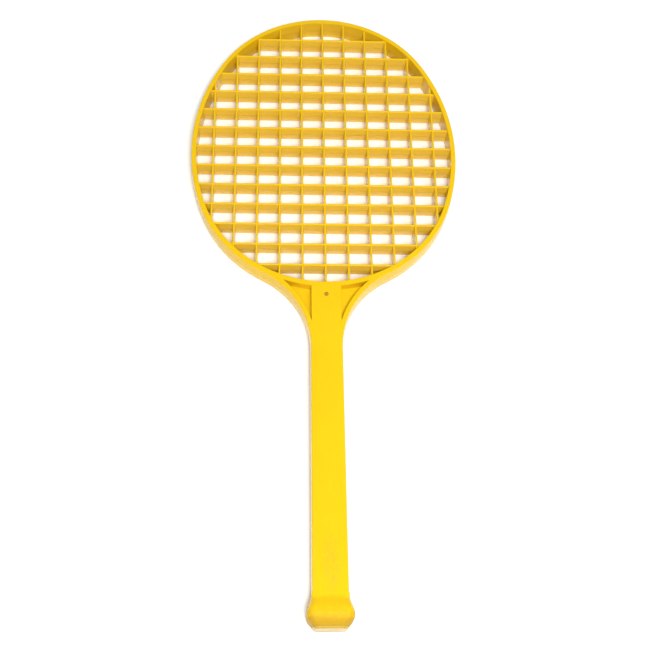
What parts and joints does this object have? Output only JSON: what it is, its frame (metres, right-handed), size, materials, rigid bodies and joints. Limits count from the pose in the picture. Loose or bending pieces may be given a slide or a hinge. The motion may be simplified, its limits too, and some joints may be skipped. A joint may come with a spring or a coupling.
{
  "type": "plastic racket",
  "caption": "Moulded plastic racket: oval head with a deep square open grid, recessed throat, straight hollow handle and flared butt with a plug cap.",
  "frame": {"origin": "middle of the bounding box in X and Y, on the lowest plane of the flared butt in Z", "axes": "+Y towards the head tip, +Z out of the front face, X across the head"},
  "size_m": [0.2236, 0.531, 0.026],
  "materials": {
    "shell_plastic": "through-coloured polyethylene, satin",
    "cap_plastic": "through-coloured polyethylene, satin"
  },
  "bodies": {
    "root": {"front_shell": "shell_plastic", "rear_shell": "shell_plastic", "butt_cap": "cap_plastic"}
  },
  "joints": []
}
